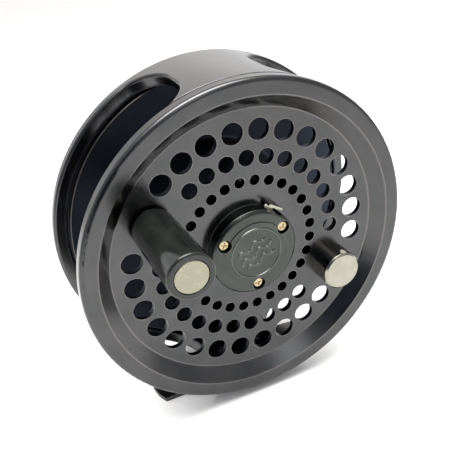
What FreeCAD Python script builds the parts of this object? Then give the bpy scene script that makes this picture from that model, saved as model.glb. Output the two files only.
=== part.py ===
import FreeCAD, Part
import math
import os

from FreeCAD import Vector

# A fly reel: a one-piece frame with a full-width top band and a foot pillar, a perforated
# large-arbor spool that turns on a fixed spindle, a click check between the two, and a
# sprung latch in the middle of the spool's face.
#
# Shapes are drawn in reel coordinates: the spindle is the Y axis, Y = 0 is the perforated
# face, +Y goes to the back, +Z is away from the foot. Angles run clockwise from +Z as seen
# from the front. place() then moves everything so that the middle of the foot's underside
# is the origin. Lengths are in millimetres, angles in degrees.

# Overall
REEL_RADIUS = 50.0
AXIS_HEIGHT = 52.5            # foot underside to spindle
FOOT_CENTRE_Y = 14.5          # middle of the foot, behind the perforated face
RUNNING_GAP = 0.05            # radial clearance of a shaft in its bearing
MOVING_GAP = 0.3              # clearance between pieces that move past each other

# Spool
RIM_RADIUS = 50.05
RIM_FRONT_Y = -3.6
RIM_BACK_Y = 0.2
RIM_FACE_INNER = 45.2
DISH_RADIUS = 41.2
WEB_THICKNESS = 2.2
HUB_WEB = 4.2
ARBOR_RADIUS = 24.0
ARBOR_WALL = 1.4
REAR_FLANGE_RADIUS = 45.2
REAR_FLANGE_Y = 26.8
REAR_FLANGE_THICKNESS = 1.2
BUSH_RADIUS = 4.5
HUB_TUBE_RADIUS = 7.0
HUB_END_Y = 23.4
HUB_FLANGE_RADIUS = 9.8

# Perforation: three rings on one pitch, the middle one half a pitch round
HOLES_PER_RING = 28
OUTER_RING, OUTER_HOLE = 35.0, 3.15
MIDDLE_RING, MIDDLE_HOLE = 27.2, 2.4
INNER_RING, INNER_HOLE = 20.4, 1.6

# Handle and counterweight, on one diameter of the spool
HANDLE_ANGLE = 298.4
HANDLE_RING = 31.4
GRIP_RADIUS = 6.2
GRIP_TIP_RADIUS = 6.3
HANDLE_LENGTH = 28.3
PIN_RADIUS = 2.2
PIN_HEAD_RADIUS = 4.5
PIN_HEAD_THICKNESS = 1.7
PLATE_SCREW_HEAD = 2.7
PLATE_SCREW_SHANK = 1.5
WASHER_RADIUS = 5.0
WASHER_THICKNESS = 0.6
GRIP_BORE = 3.4
GRIP_BASE_Y = -WASHER_THICKNESS - MOVING_GAP
GRIP_RECESS_Y = -HANDLE_LENGTH + PIN_HEAD_THICKNESS + MOVING_GAP
WEIGHT_RADIUS = 6.0
WEIGHT_LENGTH = 6.45
WEIGHT_BEVEL = 0.55

# Latch, under a round cover on the spool's face
COVER_RADIUS = 13.1
COVER_RIM_Y = -3.9
COVER_SHOULDER_RADIUS = 12.3
COVER_SHOULDER_Y = -4.55
COVER_TOP_RADIUS = 9.5
COVER_TOP_Y = -4.9
COVER_SCREW_RING = 10.55
COVER_SCREW_HEAD = 1.5
COVER_SCREW_SHANK = 0.85
LATCH_ANGLE = 94.0            # clockwise from the handle
LATCH_TRAVEL = 1.1
LATCH_THICKNESS = 1.2
LATCH_WIDTH = 4.6
LATCH_HOLE = 3.4
LATCH_RING_RADIUS = 4.9
TAB_OUTER = 14.4
TAB_THICKNESS = 0.65
TAB_TOP_Y = -3.6
POCKET_DEPTH = LATCH_THICKNESS + 2 * MOVING_GAP
CHANNEL = LATCH_WIDTH / 2 + 0.35
NOTCH_FLOOR = TAB_OUTER - TAB_THICKNESS - LATCH_TRAVEL - MOVING_GAP
SPRING_WIRE = 0.2
SPRING_COIL = 0.85
SPRING_Y = -1.3
SPRING_END = -10.7

# Spindle
SPINDLE_RADIUS = 3.0
SPINDLE_TIP_Y = -2.8
GROOVE_RADIUS = 2.0

# Frame
FRAME_FRONT_Y = 0.9
FRAME_BACK_Y = 31.6
FRAME_INNER = 46.4
PLATE_FRONT_Y = 29.1
RING_FRONT_Y = 27.4
WINDOW_FRONT_Y = 0.0
WINDOW_CORNER = 11.0
WINDOW_EDGE = 0.9             # rounding of the windows' outer edges
EDGE_BREAK = 0.2
TOP_BAND_LEFT = -14.4
TOP_BAND_RIGHT = 15.4
PILLAR_HALF_ANGLE = 15.0
FOOT_FLAT = 48.9              # spindle to the flat that the foot is screwed to

# Foot
FOOT_LENGTH = 62.6
FOOT_WIDTH = 14.0
FOOT_END_BULGE = 1.75
FOOT_TIP_THICKNESS = 1.2
FOOT_SCREW_X = 6.5
FOOT_SCREW_HEAD = 2.6
FOOT_SCREW_SHANK = 1.5

# Click check
TEETH = 36
WHEEL_TIP, WHEEL_ROOT = 11.6, 10.2
WHEEL_BORE = 5.0
WHEEL_THICKNESS = 2.2
WHEEL_SCREW_RING = 7.6
PAWL_ANGLE = 35.0             # each side of +Z
PAWL_TIP = 10.75
PAWL_THICKNESS = 1.6
PAWL_Y = HUB_END_Y + MOVING_GAP
PIVOT_X, PIVOT_Z = 8.6, 14.4
POST_RADIUS = 1.25
SPRING_POST_X, SPRING_POST_Z = -4.5, 18.6
SPRING_POST_RADIUS = 1.0
REGULATOR_RING = 16.2
REGULATOR_SHAFT = 2.0
REGULATOR_BUSH = 3.2
KNOB_RADIUS = 6.5
KNOB_LENGTH = 4.6

AXIS = Vector(0, 1, 0)
ORIGIN = Vector(0, 0, 0)


def place(shape):
    """Move a shape from reel coordinates to the part's own frame."""
    shape.translate(Vector(0, -FOOT_CENTRE_Y, AXIS_HEIGHT))
    return shape


def turn(shape, angle):
    """A copy turned clockwise about the spindle."""
    copy = shape.copy()
    copy.rotate(ORIGIN, AXIS, angle)
    return copy


def mirror_x(shape):
    return shape.mirror(ORIGIN, Vector(1, 0, 0))


def polar(radius, angle, y=0.0):
    a = math.radians(angle)
    return Vector(radius * math.sin(a), y, radius * math.cos(a))


def outline(corners, lift):
    """Closed wire through (a, b) or (a, b, radius) corners; lift maps (a, b) to space."""
    points = [(c[0], c[1]) for c in corners]
    radii = [c[2] if len(c) > 2 else 0.0 for c in corners]
    count = len(points)
    starts, ends, edges = [], [], []
    for i in range(count):
        p, before, after = points[i], points[i - 1], points[(i + 1) % count]
        if not radii[i]:
            starts.append(p)
            ends.append(p)
            continue
        la, lb = math.dist(p, before), math.dist(p, after)
        ax, ay = (before[0] - p[0]) / la, (before[1] - p[1]) / la
        bx, by = (after[0] - p[0]) / lb, (after[1] - p[1]) / lb
        half = math.acos(max(-1.0, min(1.0, ax * bx + ay * by))) / 2
        reach = radii[i] / math.tan(half)
        hx, hy = ax + bx, ay + by
        size = math.hypot(hx, hy)
        to_arc = radii[i] / math.sin(half) - radii[i]
        middle = (p[0] + hx / size * to_arc, p[1] + hy / size * to_arc)
        start = (p[0] + ax * reach, p[1] + ay * reach)
        end = (p[0] + bx * reach, p[1] + by * reach)
        starts.append(start)
        ends.append(end)
        edges.append(Part.Arc(lift(*start), lift(*middle), lift(*end)).toShape())
    for i in range(count):
        a, b = ends[i], starts[(i + 1) % count]
        if math.dist(a, b) > 1e-6:
            edges.append(Part.LineSegment(lift(*a), lift(*b)).toShape())
    return Part.Wire(Part.__sortEdges__(edges))


def turned(corners):
    """Solid of revolution about the spindle from (radius, y, corner radius) corners."""
    face = Part.Face(outline(corners, lambda r, y: Vector(r, y, 0)))
    return face.revolve(ORIGIN, AXIS, 360)


def turned_at(corners, radius, angle):
    """The same, about an axis parallel to the spindle at (radius, angle)."""
    shape = turned(corners)
    shape.translate(polar(radius, angle))
    return shape


def plate(corners, y0, y1):
    """Flat piece square to the spindle from (x, z, corner radius) corners."""
    face = Part.Face(outline(corners, lambda x, z: Vector(x, y0, z)))
    return face.extrude(Vector(0, y1 - y0, 0))


def disc(radius, y0, y1, x=0.0, z=0.0):
    return Part.makeCylinder(radius, y1 - y0, Vector(x, y0, z), AXIS)


def disc_at(radius, y0, y1, ring, angle):
    c = polar(ring, angle)
    return disc(radius, y0, y1, c.x, c.z)


def box(x0, x1, y0, y1, z0, z1):
    return Part.makeBox(x1 - x0, y1 - y0, z1 - z0, Vector(x0, y0, z0))


def hole_ring(ring, radius, y0, y1, phase, skip=()):
    pitch = 360.0 / HOLES_PER_RING
    return [disc_at(radius, y0, y1, ring, phase + pitch * n)
            for n in range(HOLES_PER_RING) if n not in skip]


def cross_slots(radius, width, y0, y1):
    """Cutter for a cross recess on the spindle axis."""
    arm = box(-radius, radius, y0, y1, -width / 2, width / 2)
    return arm.fuse(turn(arm, 90))


def flat_screw(head, shank, cone, length, slot_depth):
    """Countersunk screw with its head's flat at y = 0 and its shank towards -Y."""
    body = turned([(0, 0), (head, 0), (head, -0.2), (shank, -cone), (shank, -length, 0.2), (0, -length)])
    return body.cut(box(-head, head, -slot_depth, 1, -0.25, 0.25))


# ---- spool ----

def spool():
    back = WEB_THICKNESS
    cavity = ARBOR_RADIUS - ARBOR_WALL
    flange_back = REAR_FLANGE_Y + REAR_FLANGE_THICKNESS
    body = turned([
        (BUSH_RADIUS, 0), (DISH_RADIUS, 0, 0.5), (RIM_FACE_INNER, RIM_FRONT_Y, 0.5),
        (RIM_RADIUS, RIM_FRONT_Y, 1.3), (RIM_RADIUS, RIM_BACK_Y, 0.3),
        (48.7, RIM_BACK_Y, 0.2), (48.7, -1.6, 0.5), (46.2, -1.6, 0.6), (42.6, 1.4, 1.0),
        (ARBOR_RADIUS, back, 1.5), (ARBOR_RADIUS, REAR_FLANGE_Y, 1.5),
        (REAR_FLANGE_RADIUS, REAR_FLANGE_Y, 0.3), (REAR_FLANGE_RADIUS, flange_back, 0.3),
        (cavity, flange_back, 0.3), (cavity, back, 0.5), (17.6, back, 1.0),
        (13.8, HUB_WEB, 1.0), (HUB_TUBE_RADIUS, HUB_WEB, 1.0), (HUB_TUBE_RADIUS, 19.8, 1.0),
        (HUB_FLANGE_RADIUS, 20.6, 0.3), (HUB_FLANGE_RADIUS, HUB_END_Y), (BUSH_RADIUS, HUB_END_Y)])
    half = 180.0 / HOLES_PER_RING
    cuts = hole_ring(OUTER_RING, OUTER_HOLE, -1, 4, HANDLE_ANGLE + half, (0, 13, 14, 27))
    cuts += hole_ring(MIDDLE_RING, MIDDLE_HOLE, -1, 4, HANDLE_ANGLE, (0, 1, 13, 14, 15, 27))
    cuts += hole_ring(INNER_RING, INNER_HOLE, -1, 4, HANDLE_ANGLE + half)
    cuts += [disc_at(COVER_SCREW_SHANK, -1, 3.7, COVER_SCREW_RING, HANDLE_ANGLE + a)
             for a in (0, 120, 240)]
    cuts += [disc_at(1.0, 20.9, 25, WHEEL_SCREW_RING, a) for a in (60, 180, 300)]
    for angle in (HANDLE_ANGLE, HANDLE_ANGLE + 180):
        cone = turned([(0, -1), (PLATE_SCREW_SHANK, -1), (PLATE_SCREW_SHANK, 0.55),
                       (PLATE_SCREW_HEAD, 1.75), (PLATE_SCREW_HEAD, 3), (0, 3)])
        cone.translate(polar(HANDLE_RING, angle))
        cuts.append(cone)
    return body.cut(cuts)


def spool_bushes():
    bore = SPINDLE_RADIUS + RUNNING_GAP
    front = turned([(bore, 0.8, 0.2), (BUSH_RADIUS, 0.8), (BUSH_RADIUS, 6.0), (bore, 6.0, 0.2)])
    rear = turned([(bore, 17.0, 0.2), (BUSH_RADIUS, 17.0), (BUSH_RADIUS, HUB_END_Y),
                   (bore, HUB_END_Y, 0.2)])
    return Part.makeCompound([front, rear])


def check_wheel():
    step = 360.0 / TEETH
    points = []
    for n in range(TEETH):
        tip = polar(WHEEL_TIP, n * step)
        root = polar(WHEEL_ROOT, (n + 0.5) * step)
        points += [(tip.x, tip.z), (root.x, root.z)]
    y1 = HUB_END_Y + WHEEL_THICKNESS
    body = plate(points, HUB_END_Y, y1).cut(disc(WHEEL_BORE, 20, 30))
    sinks = []
    for angle in (60, 180, 300):
        sink = turned([(0, 20), (1.0, 20), (1.0, y1 - 1.1), (2.0, y1 - 0.2), (2.0, 30), (0, 30)])
        sink.translate(polar(WHEEL_SCREW_RING, angle))
        sinks.append(sink)
    return body.cut(sinks)


def check_wheel_screws():
    y1 = HUB_END_Y + WHEEL_THICKNESS
    screws = []
    for angle in (60, 180, 300):
        screw = flat_screw(2.0, 1.0, 1.1, 4.6, 0.5)
        screw.translate(polar(WHEEL_SCREW_RING, angle, y1))
        screws.append(screw)
    return Part.makeCompound(screws)


def plate_screws():
    """The two screws through the spool's face that hold the handle pin and the counterweight."""
    screws = []
    for angle in (HANDLE_ANGLE, HANDLE_ANGLE + 180):
        screw = turned([(0, 1.75), (PLATE_SCREW_HEAD, 1.75), (PLATE_SCREW_SHANK, 0.55),
                        (PLATE_SCREW_SHANK, -4.0, 0.3), (0, -4.0)])
        screw = screw.cut(box(-3, 3, 1.15, 3, -0.3, 0.3))
        screw.translate(polar(HANDLE_RING, angle))
        screws.append(screw)
    return Part.makeCompound(screws)


def handle_washer():
    return turned_at([(PIN_RADIUS, 0), (WASHER_RADIUS, 0), (WASHER_RADIUS, -WASHER_THICKNESS, 0.2),
                      (PIN_RADIUS, -WASHER_THICKNESS)], HANDLE_RING, HANDLE_ANGLE)


def handle_pin():
    """Shouldered pin; its broad head is the bright disc in the handle's end."""
    head_y = -HANDLE_LENGTH
    neck_y = head_y + PIN_HEAD_THICKNESS
    return turned_at([(0, head_y), (PIN_HEAD_RADIUS, head_y, 0.35), (PIN_HEAD_RADIUS, neck_y),
                      (PIN_RADIUS, neck_y), (PIN_RADIUS, 0), (PLATE_SCREW_SHANK, 0),
                      (PLATE_SCREW_SHANK, -4.2), (0, -4.2)], HANDLE_RING, HANDLE_ANGLE)


def counterweight():
    return turned_at([(0, -WEIGHT_LENGTH), (WEIGHT_RADIUS - WEIGHT_BEVEL, -WEIGHT_LENGTH, 0.2),
                      (WEIGHT_RADIUS, -WEIGHT_LENGTH + WEIGHT_BEVEL, 0.2), (WEIGHT_RADIUS, 0),
                      (PLATE_SCREW_SHANK, 0), (PLATE_SCREW_SHANK, -4.2), (0, -4.2)],
                     HANDLE_RING, HANDLE_ANGLE + 180)


# ---- handle grip ----

def handle_grip():
    recess = PIN_HEAD_RADIUS + 2 * RUNNING_GAP
    return turned_at([(GRIP_BORE, GRIP_BASE_Y), (GRIP_RADIUS - 0.2, GRIP_BASE_Y, 1.2),
                      (GRIP_RADIUS, -15, 60), (GRIP_TIP_RADIUS, -HANDLE_LENGTH, 0.7),
                      (recess, -HANDLE_LENGTH, 0.1), (recess, GRIP_RECESS_Y), (GRIP_BORE, GRIP_RECESS_Y)],
                     HANDLE_RING, HANDLE_ANGLE)


def handle_bush():
    bore = PIN_RADIUS + RUNNING_GAP
    return turned_at([(bore, GRIP_BASE_Y, 0.2), (GRIP_BORE, GRIP_BASE_Y), (GRIP_BORE, GRIP_RECESS_Y),
                      (bore, GRIP_RECESS_Y, 0.2)], HANDLE_RING, HANDLE_ANGLE)


# ---- latch ----


def latch_cover():
    body = turned([(0, COVER_TOP_Y), (COVER_TOP_RADIUS, COVER_TOP_Y, 0.3),
                   (COVER_TOP_RADIUS + 0.3, -4.72, 0.2), (COVER_SHOULDER_RADIUS, COVER_SHOULDER_Y, 1.5),
                   (COVER_RADIUS, COVER_RIM_Y, 0.4), (COVER_RADIUS, 0), (0, 0)])
    pocket = disc(6.8, -POCKET_DEPTH, 0)
    tip_room = disc(3.5, SPINDLE_TIP_Y - 0.5, 0)
    channel = box(-CHANNEL, CHANNEL, -POCKET_DEPTH, 0, 0, 15)
    notch = box(-CHANNEL, CHANNEL, -6, 0, NOTCH_FLOOR, 15)
    spring_room = box(-1.5, 1.5, SPRING_Y * 2, 0, SPRING_END, 0)
    cutters = [turn(c, HANDLE_ANGLE + LATCH_ANGLE)
               for c in (pocket, tip_room, channel, notch, spring_room)]
    for a in (0, 120, 240):
        cutters.append(disc_at(2.0, -6, -3.1, COVER_SCREW_RING, HANDLE_ANGLE + a))
        cutters.append(disc_at(COVER_SCREW_SHANK, -6, 1, COVER_SCREW_RING, HANDLE_ANGLE + a))
    return body.cut(cutters)


def cover_screws():
    screws = []
    for a in (0, 120, 240):
        screw = turned([(0, -4.0), (COVER_SCREW_HEAD, -4.0, 0.3), (COVER_SCREW_HEAD, -3.1),
                        (COVER_SCREW_SHANK, -3.1), (COVER_SCREW_SHANK, 3.5, 0.2), (0, 3.5)])
        screw = turn(screw.cut(cross_slots(1.0, 0.4, -5, -3.55)), 20 + a)
        screw.translate(polar(COVER_SCREW_RING, HANDLE_ANGLE + a))
        screws.append(screw)
    return Part.makeCompound(screws)


def latch_slide():
    """Keyhole plate whose inner edge sits in the spindle's groove, with an upturned thumb tab."""
    y0 = -MOVING_GAP - LATCH_THICKNESS
    y1 = -MOVING_GAP
    half = LATCH_WIDTH / 2
    ring = disc(LATCH_RING_RADIUS, y0, y1, 0, LATCH_TRAVEL)
    stem = plate([(-half, 3), (half, 3), (half, TAB_OUTER, 0.25), (-half, TAB_OUTER, 0.25)], y0, y1)
    tab = plate([(-half, TAB_OUTER - TAB_THICKNESS), (half, TAB_OUTER - TAB_THICKNESS),
                 (half, TAB_OUTER, 0.25), (-half, TAB_OUTER, 0.25)], TAB_TOP_Y, y1)
    body = ring.fuse([stem, tab]).removeSplitter().cut(disc(LATCH_HOLE, -5, 5, 0, LATCH_TRAVEL))
    return turn(body, HANDLE_ANGLE + LATCH_ANGLE)


def latch_spring():
    """Coil spring behind the keyhole plate, drawn at its pressed length."""
    length = -LATCH_RING_RADIUS - MOVING_GAP - SPRING_END - 2 * SPRING_WIRE
    helix = Part.makeHelix(length / 5, length, SPRING_COIL)
    ring = Part.Wire(Part.makeCircle(SPRING_WIRE, Vector(SPRING_COIL, 0, 0), AXIS))
    coil = Part.Wire(helix).makePipeShell([ring], True, True)
    coil.translate(Vector(0, SPRING_Y, SPRING_END + SPRING_WIRE))
    return turn(coil, HANDLE_ANGLE + LATCH_ANGLE)


# ---- spindle ----

def spindle():
    return turned([(0, SPINDLE_TIP_Y), (SPINDLE_RADIUS, SPINDLE_TIP_Y, 0.5),
                   (SPINDLE_RADIUS, -POCKET_DEPTH), (GROOVE_RADIUS, -POCKET_DEPTH),
                   (GROOVE_RADIUS, 0), (SPINDLE_RADIUS, 0),
                   (SPINDLE_RADIUS, HUB_END_Y + MOVING_GAP), (4.2, HUB_END_Y + MOVING_GAP, 0.2),
                   (4.2, 27.0, 0.4), (8.0, 27.0, 0.4), (8.0, PLATE_FRONT_Y), (2.5, PLATE_FRONT_Y),
                   (2.5, 33.9, 0.4), (0, 33.9)])


def spindle_washer():
    return turned([(2.5, FRAME_BACK_Y), (7.0, FRAME_BACK_Y), (7.0, FRAME_BACK_Y + 0.6, 0.2),
                   (2.5, FRAME_BACK_Y + 0.6)])


def spindle_nut():
    y0 = FRAME_BACK_Y + 0.6
    nut = turned([(2.5, y0), (5.6, y0), (5.6, y0 + 1.7, 0.8), (2.5, y0 + 1.7)])
    return nut.cut([disc_at(0.7, y0 + 0.6, y0 + 3, 4.0, a) for a in (90, 270)])


# ---- frame ----

def window_end(tip_angle, way):
    """Round end of a side window, cut square to the band; way is +1 clockwise, -1 the other way."""
    reach = WINDOW_CORNER + 3
    middle = reach / 2
    face = Part.Face(outline([(-middle, WINDOW_FRONT_Y, WINDOW_CORNER),
                              (-middle, RING_FRONT_Y, WINDOW_CORNER), (middle, RING_FRONT_Y),
                              (middle, WINDOW_FRONT_Y)], lambda s, y: Vector(s * way, y, 40)))
    prism = face.extrude(Vector(0, 0, 20))
    return turn(prism, tip_angle + way * math.degrees(math.asin(middle / REEL_RADIUS)))


def window(first, last):
    """Cutter for a side window that runs clockwise from one angle to the other."""
    margin = math.degrees(WINDOW_CORNER / REEL_RADIUS) + 1
    section = [(40, -10), (60, -10), (60, RING_FRONT_Y), (40, RING_FRONT_Y)]
    face = Part.Face(outline(section, lambda r, y: Vector(0, y, r)))
    wedge = turn(face.revolve(ORIGIN, AXIS, last - first - 2 * margin), first + margin)
    return wedge.fuse([window_end(first, 1), window_end(last, -1)])


def outer_window_edges(body):
    """Edges where the windows meet the frame's outside, without its front and back rims."""
    found = []
    for edge in body.Edges:
        points = edge.discretize(9)
        off = max(abs(math.hypot(p.x, p.z) - REEL_RADIUS) for p in points)
        back = max(p.y for p in points)
        if off < 0.02 and FRAME_FRONT_Y + EDGE_BREAK + 0.1 < back < RING_FRONT_Y + 0.1:
            found.append(edge)
    return found


def frame():
    body = turned([
        (2.5, PLATE_FRONT_Y), (FRAME_INNER, PLATE_FRONT_Y, 0.8),
        (FRAME_INNER, FRAME_FRONT_Y + EDGE_BREAK), (FRAME_INNER + EDGE_BREAK, FRAME_FRONT_Y),
        (REEL_RADIUS - EDGE_BREAK, FRAME_FRONT_Y), (REEL_RADIUS, FRAME_FRONT_Y + EDGE_BREAK),
        (REEL_RADIUS, FRAME_BACK_Y, 1.6),
        (44.4, FRAME_BACK_Y, 0.3), (43.8, FRAME_BACK_Y - 0.6, 0.3), (25.6, FRAME_BACK_Y - 0.6, 0.3),
        (25.0, FRAME_BACK_Y, 0.3), (2.5, FRAME_BACK_Y)])
    body = body.cut([window(TOP_BAND_RIGHT, 180 - PILLAR_HALF_ANGLE),
                     window(180 + PILLAR_HALF_ANGLE, 360 + TOP_BAND_LEFT)])
    body = body.makeFillet(WINDOW_EDGE, outer_window_edges(body)).Solids[0]
    cuts = [box(-40, 40, FOOT_CENTRE_Y - FOOT_WIDTH / 2 - 0.1, FOOT_CENTRE_Y + FOOT_WIDTH / 2 + 0.1,
                -60, -FOOT_FLAT)]
    half = 180.0 / HOLES_PER_RING
    cuts += hole_ring(38.6, 3.1, 28, 33, 0)
    cuts += hole_ring(30.8, 2.4, 28, 33, half)
    for side in (-1, 1):
        cuts.append(disc_at(POST_RADIUS, 28, 31.2, math.hypot(PIVOT_X, PIVOT_Z), side * pivot_angle()))
        cuts.append(disc_at(SPRING_POST_RADIUS, 28, 31.2, math.hypot(SPRING_POST_X, SPRING_POST_Z),
                            side * spring_post_angle()))
        cuts.append(Part.makeCylinder(FOOT_SCREW_SHANK, 10,
                                      Vector(side * FOOT_SCREW_X, FOOT_CENTRE_Y, -54)))
    cuts.append(disc(REGULATOR_BUSH, 28, 33, 0, REGULATOR_RING))
    return body.cut(cuts)


def foot():
    end = FOOT_LENGTH / 2
    under = -AXIS_HEIGHT
    profile = [(-end, under), (end, under), (end, under + FOOT_TIP_THICKNESS, 0.5), (17, -50.1, 30),
               (12.5, -49.6, 3), (11.2, -FOOT_FLAT, 0.5), (-11.2, -FOOT_FLAT, 0.5), (-12.5, -49.6, 3),
               (-17, -50.1, 30), (-end, under + FOOT_TIP_THICKNESS, 0.5)]
    y0 = FOOT_CENTRE_Y - FOOT_WIDTH / 2
    y1 = FOOT_CENTRE_Y + FOOT_WIDTH / 2
    body = plate(profile, y0, y1)
    straight = end - FOOT_END_BULGE
    corners = [Vector(straight, y0, -60), Vector(end, FOOT_CENTRE_Y, -60), Vector(straight, y1, -60),
               Vector(-straight, y1, -60), Vector(-end, FOOT_CENTRE_Y, -60), Vector(-straight, y0, -60)]
    plan = Part.Wire([Part.Arc(*corners[0:3]).toShape(),
                      Part.LineSegment(corners[2], corners[3]).toShape(),
                      Part.Arc(*corners[3:6]).toShape(),
                      Part.LineSegment(corners[5], corners[0]).toShape()])
    body = body.common(Part.Face(plan).extrude(Vector(0, 0, 20)))
    return body.cut([foot_screw(side, 0.0) for side in (-1, 1)])


def foot_screw(side, slot_depth):
    """Countersunk screw up through the foot into the pillar."""
    under = -AXIS_HEIGHT
    corners = [(0, under + 0.15), (FOOT_SCREW_HEAD, under + 0.15), (FOOT_SCREW_SHANK, under + 1.45),
               (FOOT_SCREW_SHANK, -FRAME_INNER - 0.4, 0.2), (0, -FRAME_INNER - 0.4)]
    face = Part.Face(outline(corners, lambda r, z: Vector(r, 0, z)))
    screw = face.revolve(ORIGIN, Vector(0, 0, 1), 360)
    if slot_depth:
        screw = screw.cut(box(-3, 3, -0.3, 0.3, under - 1, under + 0.15 + slot_depth))
    else:
        screw = screw.fuse(Part.makeCylinder(FOOT_SCREW_HEAD, 1.15, Vector(0, 0, under - 1)))
    screw.translate(Vector(side * FOOT_SCREW_X, FOOT_CENTRE_Y, 0))
    return screw


def foot_screws():
    return Part.makeCompound([foot_screw(side, 0.7) for side in (-1, 1)])


# ---- click check ----

def pivot_angle():
    return PAWL_ANGLE + math.degrees(math.atan2(PIVOT_X, PIVOT_Z))


def spring_post_angle():
    return PAWL_ANGLE + math.degrees(math.atan2(SPRING_POST_X, SPRING_POST_Z))


def both_sides(shape):
    return Part.makeCompound([shape, mirror_x(shape)])


def pawl_posts():
    shoulder_y = PAWL_Y + PAWL_THICKNESS + MOVING_GAP
    post = turned([(0, 22.5), (POST_RADIUS, 22.5, 0.2), (POST_RADIUS, 22.9), (0.9, 22.9),
                   (0.9, 23.4), (POST_RADIUS, 23.4), (POST_RADIUS, shoulder_y), (2.3, shoulder_y),
                   (2.3, PLATE_FRONT_Y), (POST_RADIUS, PLATE_FRONT_Y), (POST_RADIUS, 31.2), (0, 31.2)])
    post.translate(polar(math.hypot(PIVOT_X, PIVOT_Z), pivot_angle()))
    return both_sides(post)


def pawl_clips():
    """Open spring clips in the posts' grooves."""
    clip = disc(2.2, 22.95, 23.35).cut([disc(0.9, 20, 25), box(-0.6, 0.6, 20, 25, -3, 0)])
    clip.translate(polar(math.hypot(PIVOT_X, PIVOT_Z), pivot_angle()))
    return both_sides(clip)


def spring_posts():
    post = turned([(0, 23.0), (SPRING_POST_RADIUS, 23.0, 0.2), (SPRING_POST_RADIUS, 31.2), (0, 31.2)])
    post.translate(polar(math.hypot(SPRING_POST_X, SPRING_POST_Z), spring_post_angle()))
    return both_sides(post)


def check_springs():
    """Leaf springs: an eye round the post, a leaf over the pawl and a tail beside the cam."""
    y0, y1 = PAWL_Y + 0.2, PAWL_Y + PAWL_THICKNESS - 0.2
    eye = disc(1.6, y0, y1, SPRING_POST_X, SPRING_POST_Z)
    leaf = plate([(SPRING_POST_X, SPRING_POST_Z + 1.6), (SPRING_POST_X, SPRING_POST_Z + 1.15),
                  (4.4, 17.0, 1.5), (5.6, 17.6), (5.4, 18.0), (4.3, 17.5, 1.5)], y0, y1)
    tail = plate([(SPRING_POST_X - 2.9, SPRING_POST_Z - 0.6), (SPRING_POST_X - 2.8, SPRING_POST_Z - 1.05),
                  (SPRING_POST_X, SPRING_POST_Z - 1.6), (SPRING_POST_X, SPRING_POST_Z - 1.15)], y0, y1)
    spring = eye.fuse([leaf, tail]).cut(disc(SPRING_POST_RADIUS, 20, 30, SPRING_POST_X, SPRING_POST_Z))
    return both_sides(turn(spring, PAWL_ANGLE))


def check_pawl():
    """Right-hand pawl, its tip in a gap of the check wheel."""
    y0, y1 = PAWL_Y, PAWL_Y + PAWL_THICKNESS
    arm = plate([(0, PAWL_TIP, 0.12), (0.85, 12.45, 0.5), (7.6, 12.0), (PIVOT_X, PIVOT_Z), (6.6, 16.3),
                 (0.4, 15.4, 1.0), (-1.3, 14.2, 0.8), (-0.85, 12.45, 0.5)], y0, y1)
    eye = disc(2.7, y0, y1, PIVOT_X, PIVOT_Z)
    bore = disc(POST_RADIUS + RUNNING_GAP, 20, 30, PIVOT_X, PIVOT_Z)
    return turn(arm.fuse(eye).cut(bore), PAWL_ANGLE)


def regulator_bush():
    return disc(REGULATOR_BUSH, PLATE_FRONT_Y, FRAME_BACK_Y, 0, REGULATOR_RING).cut(
        disc(REGULATOR_SHAFT + RUNNING_GAP, 20, 40, 0, REGULATOR_RING))


def regulator_cam():
    """Shaft through the back plate with an oval cam between the springs' tails."""
    shaft = turned([(0, 23.8), (REGULATOR_SHAFT, 23.8), (REGULATOR_SHAFT, 27.6), (3.0, 27.6, 0.2),
                    (3.0, PLATE_FRONT_Y - MOVING_GAP), (REGULATOR_SHAFT, PLATE_FRONT_Y - MOVING_GAP),
                    (REGULATOR_SHAFT, 34.6), (0, 34.6)])
    cam = plate([(-2.4, -3.4, 2.0), (2.4, -3.4, 2.0), (2.4, 3.4, 2.0), (-2.4, 3.4, 2.0)],
                PAWL_Y + 0.1, PAWL_Y + PAWL_THICKNESS - 0.1)
    shaft = shaft.fuse(cam).cut(disc(0.8, 30, 40))
    shaft.translate(Vector(0, 0, REGULATOR_RING))
    return shaft


def regulator_knob():
    y0 = FRAME_BACK_Y + MOVING_GAP
    y1 = y0 + KNOB_LENGTH
    knob = turned([(REGULATOR_SHAFT, y0), (KNOB_RADIUS, y0, 0.4), (KNOB_RADIUS, y1, 0.8), (3.0, y1, 0.2),
                   (3.0, 34.6), (REGULATOR_SHAFT, 34.6)])
    grooves = [disc_at(0.55, y0 - 1, y1 + 1, KNOB_RADIUS + 0.2, n * 15) for n in range(24)]
    knob = knob.cut(grooves)
    knob.translate(Vector(0, 0, REGULATOR_RING))
    return knob


def regulator_screw():
    screw = turned([(0, 36.0), (2.4, 36.0, 0.3), (2.4, 34.6), (0.8, 34.6), (0.8, 31.4), (0, 31.4)])
    screw = screw.cut(box(-3, 3, 35.5, 37, -0.25, 0.25))
    screw.translate(Vector(0, 0, REGULATOR_RING))
    return screw


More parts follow.
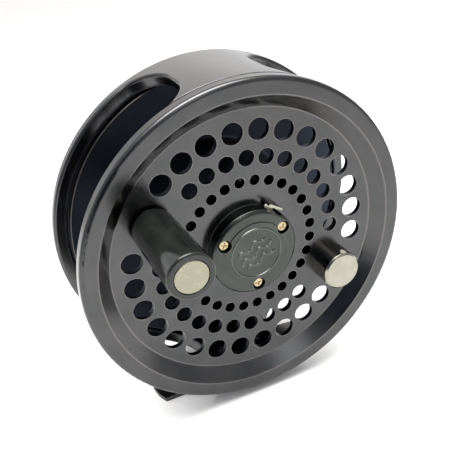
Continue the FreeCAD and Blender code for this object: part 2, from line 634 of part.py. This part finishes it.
def main():
    right_pawl = check_pawl()
    nodes = {
        "frame": frame(), "foot": foot(), "foot_screws": foot_screws(), "spindle": spindle(),
        "spindle_washer": spindle_washer(), "spindle_nut": spindle_nut(), "pawl_posts": pawl_posts(),
        "pawl_clips": pawl_clips(), "spring_posts": spring_posts(), "check_springs": check_springs(),
        "regulator_bush": regulator_bush(), "regulator_cam": regulator_cam(),
        "regulator_knob": regulator_knob(), "regulator_screw": regulator_screw(),
        "right_pawl": right_pawl, "left_pawl": mirror_x(right_pawl),
        "spool": spool(), "spool_bushes": spool_bushes(), "check_wheel": check_wheel(),
        "check_wheel_screws": check_wheel_screws(), "plate_screws": plate_screws(),
        "handle_pin": handle_pin(), "handle_washer": handle_washer(), "counterweight": counterweight(),
        "handle_grip": handle_grip(), "handle_bush": handle_bush(), "latch_cover": latch_cover(),
        "cover_screws": cover_screws(), "latch_slide": latch_slide(), "latch_spring": latch_spring(),
    }
    os.makedirs("parts", exist_ok=True)
    for name, shape in nodes.items():
        shape = place(shape)
        print(name, shape.isValid(), len(shape.Solids), round(shape.Volume, 1))
        shape.exportStep("parts/" + name + ".step")


main()
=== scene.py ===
import math

import bmesh
import bpy
from mathutils import Matrix, Vector


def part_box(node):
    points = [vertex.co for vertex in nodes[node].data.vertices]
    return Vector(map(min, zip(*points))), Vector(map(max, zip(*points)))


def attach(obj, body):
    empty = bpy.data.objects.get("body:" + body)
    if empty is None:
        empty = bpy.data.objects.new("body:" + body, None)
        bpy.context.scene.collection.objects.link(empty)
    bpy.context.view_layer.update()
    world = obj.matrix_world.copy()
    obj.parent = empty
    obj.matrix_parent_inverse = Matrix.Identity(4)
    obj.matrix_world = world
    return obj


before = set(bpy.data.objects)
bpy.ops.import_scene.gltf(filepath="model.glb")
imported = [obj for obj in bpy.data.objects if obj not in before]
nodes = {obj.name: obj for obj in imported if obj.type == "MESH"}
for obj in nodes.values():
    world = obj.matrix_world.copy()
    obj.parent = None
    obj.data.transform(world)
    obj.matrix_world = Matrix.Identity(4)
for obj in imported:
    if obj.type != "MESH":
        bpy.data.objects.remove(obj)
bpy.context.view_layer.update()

MM = 0.001


# ---------- small helpers ----------

def colour(hex_code):
    """An sRGB hex colour as a linear RGBA tuple."""
    out = []
    for i in (0, 2, 4):
        c = int(hex_code[i:i + 2], 16) / 255
        out.append(c / 12.92 if c <= 0.04045 else ((c + 0.055) / 1.055) ** 2.4)
    return (*out, 1.0)


def add(tree, kind, inputs=None, out=0, **settings):
    """Add one node, set its properties and fill its sockets with values or links; gives one output."""
    new = tree.nodes.new(kind)
    for key, value in settings.items():
        setattr(new, key, value)
    for key, value in (inputs or {}).items():
        if isinstance(value, bpy.types.NodeSocket):
            tree.links.new(value, new.inputs[key])
        else:
            new.inputs[key].default_value = value
    return new.outputs[out]


def centre(name):
    low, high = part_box(name)
    return (low + high) / 2


# ---------- places and sizes ----------

AXIS = centre("spindle")                      # the spindle's centre line runs along Y through here
HANDLE = centre("handle_grip")
WEIGHT = centre("counterweight")
FACE_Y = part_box("counterweight")[1].y         # plane of the perforated face
PLATE_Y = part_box("frame")[1].y                # back of the frame
COVER_TOP_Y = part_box("latch_cover")[0].y

DISH_FOOT = 41.2 * MM                         # radius where the dished rim leaves the face
DISH_TOP = 45.2 * MM                          # radius of its top, and of the flange behind it
DRUM_EDGE = 46.8 * MM                         # past this radius everything is an outside surface
PLATE_THICK = 2.3 * MM                        # the frame's back plate
COVER_WALL = 12.9 * MM                        # radius where the cover's wall meets the face
CORNER_LINE = 0.2 * MM                        # half width of the painted highlight line on a turned corner

RELIEF_HEIGHT = 0.25 * MM
RELIEF_SUNK = 0.05 * MM                       # how far its underside is buried in the cover
RELIEF_TURN = math.radians(28.0)              # the waves run across the line through the handle
RELIEF_ROUND = 0.05 * MM
RIDGE_PROFILE = (                             # across a ridge, in widths, and down to its foot
    (-0.5, RELIEF_SUNK),
    (-0.28, -RELIEF_HEIGHT),
    (0.28, -RELIEF_HEIGHT),
    (0.5, RELIEF_SUNK),
)
RING_RADIUS = 7.7                             # the relief's ring and waves, in mm
RING_WIDTH = 0.75
RING_STEPS = 96
WAVE_WIDTH = 1.05
WAVE_SWING = 0.75
WAVE_LENGTH = 5.0
WAVE_STEPS = 48
WAVES = ((-2.7, 4.6), (0.0, 5.6), (2.7, 4.6))  # each one's offset from the middle, and half length

NOISE_LOW, NOISE_HIGH = 0.3, 0.7              # a noise texture's values lie between these
FACTOR, FIRST, SECOND, MIXED = 0, 6, 7, 2     # a Mix node's sockets for colours


# ---------- finishes ----------

def start(name):
    """A new material: its tree, its shader's sockets and the piece's own coordinates."""
    material = bpy.data.materials.new(name)
    material.use_nodes = True
    tree = material.node_tree
    sockets = tree.nodes["Principled BSDF"].inputs
    return material, tree, sockets, add(tree, "ShaderNodeTexCoord", out="Object")


def radius_about(tree, place, at):
    """Distance in metres from the line along Y through a point: what a lathe's marks follow."""
    moved = add(tree, "ShaderNodeVectorMath", {0: place, 1: at}, operation="SUBTRACT")
    flat = add(tree, "ShaderNodeVectorMath", {0: moved, 1: (1, 0, 1)}, operation="MULTIPLY")
    return add(tree, "ShaderNodeVectorMath", {0: flat}, "Value", operation="LENGTH")


def between(tree, value, low, high, ramp=0.1 * MM):
    """1 where a length lies between two others, falling to 0 over a short ramp at each end."""
    rise = add(tree, "ShaderNodeMapRange", {"Value": value, "From Min": low - ramp, "From Max": low + ramp})
    fall = add(tree, "ShaderNodeMapRange", {"Value": value, "From Min": high + ramp, "From Max": high - ramp})
    return add(tree, "ShaderNodeMath", {0: rise, 1: fall}, operation="MULTIPLY")


def dust(tree, place):
    """A few specks of pale dust. Real dust is 0.05 mm; these are 0.15 mm so that they show at all."""
    cells = add(tree, "ShaderNodeTexVoronoi", {"Vector": place, "Scale": 1 / (1.9 * MM)})
    return add(tree, "ShaderNodeMapRange", {"Value": cells, "From Min": 0.055, "From Max": 0.035,
                                            "To Max": 0.5})


def rubbed(tree, place, reach_mm, patch_mm):
    """1 on sharp outside edges, broken up in patches: partly where handling rubs a finish through, partly a
    painted highlight along the edges.
    """
    rounded = add(tree, "ShaderNodeBevel", {"Radius": reach_mm * MM}, samples=6)
    plain = add(tree, "ShaderNodeNewGeometry", out="Normal")
    alike = add(tree, "ShaderNodeVectorMath", {0: rounded, 1: plain}, "Value", operation="DOT_PRODUCT")
    wear_and_highlight = add(tree, "ShaderNodeMapRange", {"Value": alike, "From Min": 0.985, "From Max": 0.8})
    patches = add(tree, "ShaderNodeTexNoise", {"Vector": place, "Scale": 1 / (patch_mm * MM), "Detail": 3.0})
    kept = add(tree, "ShaderNodeMapRange", {"Value": patches, "From Min": 0.35, "From Max": 0.62,
                                            "To Min": 0.25})
    return add(tree, "ShaderNodeMath", {0: wear_and_highlight, 1: kept}, operation="MULTIPLY")


def bumped(tree, sockets, *layers):
    """Stack bump layers of (height, strength, depth in mm) on the shader."""
    normal = None
    for height, strength, depth_mm in layers:
        inputs = {"Height": height, "Strength": strength, "Distance": depth_mm * MM}
        if normal:
            inputs["Normal"] = normal
        normal = add(tree, "ShaderNodeBump", inputs)
    tree.links.new(normal, sockets["Normal"])


def turned_metal(name, dark, light, edge_wear_and_highlight_colour, rough, at=AXIS, cloud_mm=9.0, rings=0.1, grain=0.1,
                 edge_mm=0.35, streak=0.0, trim=None):
    """Metal turned on a lathe: clouded colour, faint rings, fine grain and edges lightened, partly as
    rubbed-through wear and partly as a painted highlight.

    trim(tree, place, radius, base, matt) may change the base colour and roughness by place."""
    material, tree, sockets, place = start(name)
    radius = radius_about(tree, place, at)
    cloud = add(tree, "ShaderNodeTexNoise", {"Vector": place, "Scale": 1 / (cloud_mm * MM), "Detail": 4.0})
    depth = add(tree, "ShaderNodeMapRange", {"Value": cloud, "From Min": NOISE_LOW, "From Max": NOISE_HIGH})
    base = add(tree, "ShaderNodeMix", {FACTOR: depth, FIRST: colour(dark), SECOND: colour(light)}, MIXED,
               data_type="RGBA")
    # Grit and tool marks are 0.05 to 0.1 mm, too fine to show, so they are drawn 0.35 and 0.45 mm.
    grit = add(tree, "ShaderNodeTexNoise", {"Vector": place, "Scale": 1 / (0.35 * MM), "Detail": 2.0})
    feed = add(tree, "ShaderNodeTexNoise", {"W": radius, "Scale": 1 / (0.45 * MM)}, noise_dimensions="1D")
    smooth = add(tree, "ShaderNodeMapRange", {"Value": cloud, "From Min": NOISE_LOW, "From Max": NOISE_HIGH,
                                              "To Min": rough[0], "To Max": rough[1]})
    fine = add(tree, "ShaderNodeMapRange", {"Value": grit, "From Min": NOISE_LOW, "From Max": NOISE_HIGH,
                                            "To Min": -0.03, "To Max": 0.03})
    matt = add(tree, "ShaderNodeMath", {0: smooth, 1: fine}, operation="ADD")
    if trim:
        base, matt = trim(tree, place, radius, base, matt)
    # Edges lightened towards the edge colour: partly rubbed-through wear, partly a painted highlight.
    wear_and_highlight = rubbed(tree, place, edge_mm, 2.2)
    shown = add(tree, "ShaderNodeMix", {FACTOR: wear_and_highlight, FIRST: base, SECOND: colour(edge_wear_and_highlight_colour)}, MIXED,
                data_type="RGBA")
    tree.links.new(shown, sockets["Base Color"])
    tree.links.new(matt, sockets["Roughness"])
    sockets["Metallic"].default_value = 1.0
    sockets["Anisotropic"].default_value = streak
    if streak:
        tree.links.new(add(tree, "ShaderNodeTangent", direction_type="RADIAL", axis="Y"), sockets["Tangent"])
    bumped(tree, sockets, (grit, grain, 0.02), (feed, rings, 0.02))
    return material


def drum_trim(tree, place, radius, base, matt):
    """Paints shade as a darker colour, with a few dots of pale dust, on the drum's interior faces and in the
    narrow gap behind the rim, and paints highlight lines on the turned corners of the dished rim.
    """
    y = add(tree, "ShaderNodeSeparateXYZ", {0: place}, "Y")
    # Painted shade: the drum's interior faces, from just behind the face to the back plate and within the
    # drum's edge, are darkened.
    deep = between(tree, y, FACE_Y + 0.5 * MM, PLATE_Y - PLATE_THICK)
    inner = add(tree, "ShaderNodeMapRange", {"Value": radius, "From Min": DRUM_EDGE + CORNER_LINE,
                                             "From Max": DRUM_EDGE - CORNER_LINE})
    interior_shade = add(tree, "ShaderNodeMath", {0: deep, 1: inner}, operation="MULTIPLY")
    # Painted shade in the narrow gap just behind the face, where the spool's rim meets the frame.
    gap = between(tree, y, FACE_Y + 0.1 * MM, FACE_Y + 1.0 * MM, 0.05 * MM)
    interior_shade = add(tree, "ShaderNodeMath", {0: interior_shade, 1: gap}, operation="MAXIMUM")
    # 2b2f38 is the painted shade's colour; 7a7a7a is pale dust on it.
    shade_and_dust = add(tree, "ShaderNodeMix", {FACTOR: dust(tree, place), FIRST: colour("2b2f38"),
                                        SECOND: colour("7a7a7a")}, MIXED, data_type="RGBA")
    base = add(tree, "ShaderNodeMix", {FACTOR: interior_shade, FIRST: base, SECOND: shade_and_dust}, MIXED, data_type="RGBA")
    dull = add(tree, "ShaderNodeMath", {0: interior_shade, 1: 0.22}, operation="MULTIPLY")
    matt = add(tree, "ShaderNodeMath", {0: matt, 1: dull}, operation="ADD")
    # Painted highlights: pale lines of colour 615f5e along the turned corners at the foot and the top of the
    # dished rim, the foot's only near the face.
    front = add(tree, "ShaderNodeMapRange", {"Value": y, "From Min": FACE_Y + 2 * MM,
                                             "From Max": FACE_Y + MM})
    foot_highlight_line = between(tree, radius, DISH_FOOT - CORNER_LINE, DISH_FOOT + CORNER_LINE)
    foot_highlight_line = add(tree, "ShaderNodeMath", {0: foot_highlight_line, 1: front}, operation="MULTIPLY")
    top_highlight_line = between(tree, radius, DISH_TOP - CORNER_LINE, DISH_TOP + CORNER_LINE)
    for line in (foot_highlight_line, top_highlight_line):
        base = add(tree, "ShaderNodeMix", {FACTOR: line, FIRST: base, SECOND: colour("615f5e")}, MIXED,
                   data_type="RGBA")
        polish = add(tree, "ShaderNodeMath", {0: line, 1: -0.04}, operation="MULTIPLY")
        matt = add(tree, "ShaderNodeMath", {0: matt, 1: polish}, operation="ADD")
    return base, matt


def cover_trim(tree, place, radius, base, matt):
    """Pale line round the foot of the cover's wall: a painted highlight on its corner."""
    y = add(tree, "ShaderNodeSeparateXYZ", {0: place}, "Y")
    low = between(tree, y, FACE_Y - 0.22 * MM, FACE_Y + MM, 0.08 * MM)
    rim = add(tree, "ShaderNodeMapRange", {"Value": radius, "From Min": COVER_WALL,
                                           "From Max": COVER_WALL + 0.15 * MM})
    line = add(tree, "ShaderNodeMath", {0: low, 1: rim}, operation="MULTIPLY")
    # Painted highlight: colour 9a9d98 along that line.
    base = add(tree, "ShaderNodeMix", {FACTOR: line, FIRST: base, SECOND: colour("9a9d98")}, MIXED,
               data_type="RGBA")
    soft = add(tree, "ShaderNodeMath", {0: line, 1: 0.3}, operation="MULTIPLY")
    return base, add(tree, "ShaderNodeMath", {0: matt, 1: soft}, operation="ADD")


def grip_plastic(name, dark, light):
    """Acetal bar turned on a lathe: waxy, with soft wide highlights, faint rings and a few specks of dust."""
    material, tree, sockets, place = start(name)
    cloud = add(tree, "ShaderNodeTexNoise", {"Vector": place, "Scale": 1 / (6 * MM), "Detail": 4.0})
    depth = add(tree, "ShaderNodeMapRange", {"Value": cloud, "From Min": NOISE_LOW, "From Max": NOISE_HIGH})
    base = add(tree, "ShaderNodeMix", {FACTOR: depth, FIRST: colour(dark), SECOND: colour(light)}, MIXED,
               data_type="RGBA")
    # Edges lightened to 5d5d5e: partly rubbed wear, partly a painted highlight.
    base = add(tree, "ShaderNodeMix", {FACTOR: rubbed(tree, place, 0.3, 1.5), FIRST: base,
                                       SECOND: colour("5d5d5e")}, MIXED, data_type="RGBA")
    base = add(tree, "ShaderNodeMix", {FACTOR: dust(tree, place), FIRST: base,
                                       SECOND: colour("9a9a98")}, MIXED, data_type="RGBA")
    tree.links.new(base, sockets["Base Color"])
    sockets["IOR"].default_value = 1.48
    # The tool's feed is 0.15 mm a turn, drawn at 0.5 mm.
    along = add(tree, "ShaderNodeSeparateXYZ", {0: place}, "Y")
    feed = add(tree, "ShaderNodeTexNoise", {"W": along, "Scale": 1 / (0.5 * MM)}, noise_dimensions="1D")
    scuffs = add(tree, "ShaderNodeTexNoise", {"Vector": place, "Scale": 1 / (2.5 * MM), "Detail": 5.0})
    matt = add(tree, "ShaderNodeMapRange", {"Value": scuffs, "From Min": 0.35, "From Max": 0.7,
                                            "To Min": 0.07, "To Max": 0.15})
    tree.links.new(matt, sockets["Roughness"])
    bumped(tree, sockets, (scuffs, 0.006, 0.03), (feed, 0.04, 0.02))
    return material


def waxy_plastic(name, dark, light):
    """Natural white acetal: light goes a little way in, so its edges look soft."""
    material, tree, sockets, place = start(name)
    cloud = add(tree, "ShaderNodeTexNoise", {"Vector": place, "Scale": 1 / (2.5 * MM), "Detail": 4.0})
    base = add(tree, "ShaderNodeMix", {FACTOR: cloud, FIRST: colour(dark), SECOND: colour(light)}, MIXED,
               data_type="RGBA")
    tree.links.new(base, sockets["Base Color"])
    sockets["IOR"].default_value = 1.48
    sockets["Subsurface Weight"].default_value = 0.15
    sockets["Subsurface Scale"].default_value = 0.5 * MM
    matt = add(tree, "ShaderNodeMapRange", {"Value": cloud, "From Min": NOISE_LOW, "From Max": NOISE_HIGH,
                                            "To Min": 0.38, "To Max": 0.5})
    tree.links.new(matt, sockets["Roughness"])
    grit = add(tree, "ShaderNodeTexNoise", {"Vector": place, "Scale": 1 / (0.4 * MM), "Detail": 2.0})
    bumped(tree, sockets, (grit, 0.08, 0.02))
    return material


# Aluminium turned on a lathe and anodised black. The dyed oxide lets some metal shine through, so it reads
# soft grey where it faces a light and near black where it doesn't, and the tool's rings stretch its shine.
anodised = turned_metal("satin_black_anodised_aluminium", "464748", "4f4f50", "8d8b88", (0.17, 0.24),
                        grain=0.05, streak=0.5, trim=drum_trim)
# The same alloy polished before it was dyed: a deeper, faintly green black with hardly a tool mark left.
gloss = turned_metal("polished_black_anodised_aluminium", "3d403e", "464946", "6d6f6d", (0.16, 0.24),
                     rings=0.03, grain=0.02, trim=cover_trim)
# The raised lines on the cover, which thumbs have rubbed to a paler satin.
thumbed = turned_metal("thumb_rubbed_black_anodising", "494c49", "555854", "6d6f6d", (0.26, 0.34),
                       rings=0.02, grain=0.04)
# Nickel over brass, buffed: a slightly warm mirror with a few soft hazes from fingers.
nickel = turned_metal("buffed_nickel_plate", "8b897d", "98958a", "b5b2a8", (0.06, 0.18), at=WEIGHT,
                      cloud_mm=4.0, rings=0.03, grain=0.02)
# The same plate left satin on the pin's broad head: yellower and softer.
pin_nickel = turned_metal("satin_nickel_pin", "868474", "8e8c7b", "a19f90", (0.22, 0.3), at=HANDLE,
                          cloud_mm=3.0, rings=0.06, grain=0.05)
# Stainless steel, ground: neutral grey with a soft, slightly patchy shine.
steel = turned_metal("ground_stainless_steel", "918f8c", "a4a29e", "b8b6b2", (0.2, 0.34), cloud_mm=3.0)
# Carbon spring steel blued in the furnace: dark slate, paler on its edges, partly where it is rubbed and
# partly as a painted highlight.
blued = turned_metal("blued_spring_steel", "3f434c", "525764", "7d8089", (0.24, 0.36), cloud_mm=2.0,
                     rings=0.0)
# Steel screws with a thin zinc plate: cool pale grey, a little mottled.
screw_steel = turned_metal("zinc_plated_steel", "9a9d9f", "b0b1af", "c6c6c2", (0.24, 0.4), cloud_mm=1.2,
                           edge_mm=0.15)
# Free-cutting brass as it leaves the lathe, dulled by air: pale yellow-grey with brighter corners.
brass = turned_metal("machined_brass", "a09472", "b8ab88", "d2c8aa", (0.2, 0.34), cloud_mm=1.5,
                     edge_mm=0.15)
# Bronze powder pressed and sintered, soaked in oil: brown and dull, with a coarse grain.
bronze = turned_metal("sintered_bronze", "7d6138", "9a7a49", "b08f5c", (0.4, 0.55), cloud_mm=1.0,
                      grain=0.35)
# Black acetal bar for the grip: near black, with a clear window of light along its side.
grip = grip_plastic("turned_black_acetal", "151716", "202220")
# White acetal for the grip's bush: milky.
white_acetal = waxy_plastic("natural_acetal", "d8d4c8", "e6e3d9")

FINISHES = {
    anodised: ("frame", "spool", "foot", "regulator_knob"),
    gloss: ("latch_cover",),
    nickel: ("counterweight", "latch_slide", "handle_washer"),
    pin_nickel: ("handle_pin",),
    steel: ("spindle", "spindle_washer", "pawl_posts", "spring_posts", "right_pawl", "left_pawl",
            "regulator_cam"),
    blued: ("check_springs", "latch_spring", "pawl_clips"),
    screw_steel: ("foot_screws", "plate_screws", "check_wheel_screws", "regulator_screw"),
    brass: ("cover_screws", "spindle_nut", "check_wheel"),
    bronze: ("spool_bushes", "regulator_bush"),
    grip: ("handle_grip",),
    white_acetal: ("handle_bush",),
}
for material, names in FINISHES.items():
    for name in names:
        for slot in nodes[name].material_slots:
            slot.material = material


# ---------- relief on the latch cover ----------

def ridge(bm, path, width, closed=False):
    """A low ridge with sloped sides along a path of (x, z) points on the cover's top."""
    sections = []
    count = len(path)
    for i, (x, z) in enumerate(path):
        before = path[i - 1] if closed or i else path[i]
        after = path[(i + 1) % count] if closed or i < count - 1 else path[i]
        along = Vector((after[0] - before[0], after[1] - before[1])).normalized()
        across = Vector((-along.y, along.x))
        row = []
        for side, y in RIDGE_PROFILE:
            at = Vector((x, z)) + across * side * width
            row.append(bm.verts.new((AXIS.x + at.x, COVER_TOP_Y + y, AXIS.z + at.y)))
        sections.append(row)
    corners = len(RIDGE_PROFILE)
    for i in range(count if closed else count - 1):
        a, b = sections[i], sections[(i + 1) % count]
        for k in range(corners):
            bm.faces.new((a[k], a[(k + 1) % corners], b[(k + 1) % corners], b[k]))
    if not closed:
        bm.faces.new(sections[0])
        bm.faces.new(sections[-1][::-1])


def wave_path(offset, reach):
    """One wave across the cover, turned to run across the line through the handle."""
    path = []
    for n in range(WAVE_STEPS + 1):
        s = -reach + 2 * reach * n / WAVE_STEPS
        t = offset + WAVE_SWING * math.sin(math.tau * s / WAVE_LENGTH)
        path.append(((s * math.cos(RELIEF_TURN) - t * math.sin(RELIEF_TURN)) * MM,
                     (s * math.sin(RELIEF_TURN) + t * math.cos(RELIEF_TURN)) * MM))
    return path


def relief():
    """A ring round three waves, raised a little on the cover like a struck medal."""
    bm = bmesh.new()
    angles = [math.tau * n / RING_STEPS for n in range(RING_STEPS)]
    ring = [(RING_RADIUS * MM * math.sin(a), RING_RADIUS * MM * math.cos(a)) for a in angles]
    ridge(bm, ring, RING_WIDTH * MM, closed=True)
    for offset, reach in WAVES:
        ridge(bm, wave_path(offset, reach), WAVE_WIDTH * MM)
    bmesh.ops.recalc_face_normals(bm, faces=bm.faces)
    mesh = bpy.data.meshes.new("cover_relief")
    bm.to_mesh(mesh)
    bm.free()
    mesh.materials.append(thumbed)
    piece = bpy.data.objects.new("cover_relief", mesh)
    bpy.context.scene.collection.objects.link(piece)
    soften = piece.modifiers.new("soft_edges", "BEVEL")
    soften.width = RELIEF_ROUND
    soften.segments = 2
    soften.limit_method = "ANGLE"
    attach(piece, "spool_assembly")


relief()


# ---------- studio ----------

ROOM_BRIGHTNESS = 0.95
BACK_WALL_BRIGHTER = 1.95                     # how much brighter the wall behind the reel is
DOORWAY = (-0.54, -0.78, 0.26)                # direction of the dark doorway
FLOOR_HALF = 3.0                              # half the floor's width, in metres


def softbox(name, at, toward, width, height, power, spread=180.0, tint="ffffff"):
    light = bpy.data.lights.new(name, "AREA")
    light.shape = "RECTANGLE"
    light.size, light.size_y = width, height
    light.energy = power
    light.spread = math.radians(spread)
    light.color = colour(tint)[:3]
    lamp = bpy.data.objects.new(name, light)
    lamp.location = at
    lamp.rotation_euler = (Vector(toward) - Vector(at)).to_track_quat("-Z", "Y").to_euler()
    bpy.context.scene.collection.objects.link(lamp)


def floor():
    mesh = bpy.data.meshes.new("floor")
    bm = bmesh.new()
    bmesh.ops.create_grid(bm, x_segments=2, y_segments=2, size=FLOOR_HALF)
    bm.to_mesh(mesh)
    bm.free()
    ground = bpy.data.objects.new("floor", mesh)
    bpy.context.scene.collection.objects.link(ground)
    paper = bpy.data.materials.new("pale_paper")
    paper.use_nodes = True
    sockets = paper.node_tree.nodes["Principled BSDF"].inputs
    sockets["Base Color"].default_value = colour("f3f3f3")
    sockets["Roughness"].default_value = 0.9
    mesh.materials.append(paper)


def room():
    """The room that the reel mirrors: palest overhead and behind, dimmer at the sides, with a dark doorway
    in front and to the left. Seen straight on it is a plain white backdrop."""
    world = bpy.data.worlds.new("room")
    world.use_nodes = True
    bpy.context.scene.world = world
    tree = world.node_tree
    toward = add(tree, "ShaderNodeTexCoord", out="Generated")
    height = add(tree, "ShaderNodeSeparateXYZ", {0: toward}, "Z")
    low = add(tree, "ShaderNodeMapRange", {"Value": height, "From Min": 0.05, "From Max": 0.25})
    walls = add(tree, "ShaderNodeMix", {FACTOR: low, FIRST: colour("e8e8e8"),
                                        SECOND: colour("dadadc")}, MIXED, data_type="RGBA")
    high = add(tree, "ShaderNodeMapRange", {"Value": height, "From Min": 0.6, "From Max": 0.85})
    shell = add(tree, "ShaderNodeMix", {FACTOR: high, FIRST: walls, SECOND: colour("ffffff")}, MIXED,
                data_type="RGBA")
    back = add(tree, "ShaderNodeSeparateXYZ", {0: toward}, "Y")
    behind = add(tree, "ShaderNodeMapRange", {"Value": back, "From Min": 0.1, "From Max": 0.7,
                                              "To Min": 1.0, "To Max": BACK_WALL_BRIGHTER})
    shell = add(tree, "ShaderNodeMix", {FACTOR: 1.0, FIRST: shell, SECOND: behind}, MIXED,
                data_type="RGBA", blend_type="MULTIPLY", clamp_result=False)
    facing = add(tree, "ShaderNodeVectorMath", {0: toward, 1: Vector(DOORWAY).normalized()}, "Value",
                 operation="DOT_PRODUCT")
    door = add(tree, "ShaderNodeMapRange", {"Value": facing, "From Min": 0.86, "From Max": 0.975})
    lit = add(tree, "ShaderNodeMix", {FACTOR: door, FIRST: shell, SECOND: colour("555e70")}, MIXED,
              data_type="RGBA")
    backdrop = add(tree, "ShaderNodeLightPath", out="Is Camera Ray")
    lit = add(tree, "ShaderNodeMix", {FACTOR: backdrop, FIRST: lit, SECOND: colour("ffffff")}, MIXED,
              data_type="RGBA")
    tree.links.new(lit, tree.nodes["Background"].inputs["Color"])
    tree.nodes["Background"].inputs["Strength"].default_value = ROOM_BRIGHTNESS


floor()
room()
softbox("overhead", (0.0, -0.08, 0.8), (0.0, -0.05, 0.0), width=0.7, height=0.55, power=2.6,
        spread=70.0, tint="fffdfa")
softbox("behind", (0.28, 0.75, 0.5), AXIS, width=1.0, height=0.5, power=0.75, tint="fff0d8")
softbox("window", (0.03, -0.70, 0.62), AXIS, width=0.24, height=0.24, power=0.4)

bpy.context.scene.view_settings.view_transform = "Standard"


# ---------- camera ----------

# It stands in front, to the left and above, rolled so that the foot points down and left.
CAMERA_FROM_FACE = Vector((-69.07, -153.72, 101.2)) * MM     # from the middle of the perforated face
LOOK = Vector((0.3283, 0.8100, -0.4860)).normalized()
UP = Vector((0.2711, 0.4121, 0.8699))

lens = bpy.data.cameras.new("camera")
lens.sensor_width = 36.0
lens.lens = 54.5
lens.clip_start = 0.01
camera = bpy.data.objects.new("camera", lens)
right = LOOK.cross(UP).normalized()
turn = Matrix((right, right.cross(LOOK), -LOOK)).transposed().to_4x4()
stand = Vector((AXIS.x, FACE_Y, AXIS.z)) + CAMERA_FROM_FACE
camera.matrix_world = Matrix.Translation(stand) @ turn
bpy.context.scene.collection.objects.link(camera)
bpy.context.scene.camera = camera
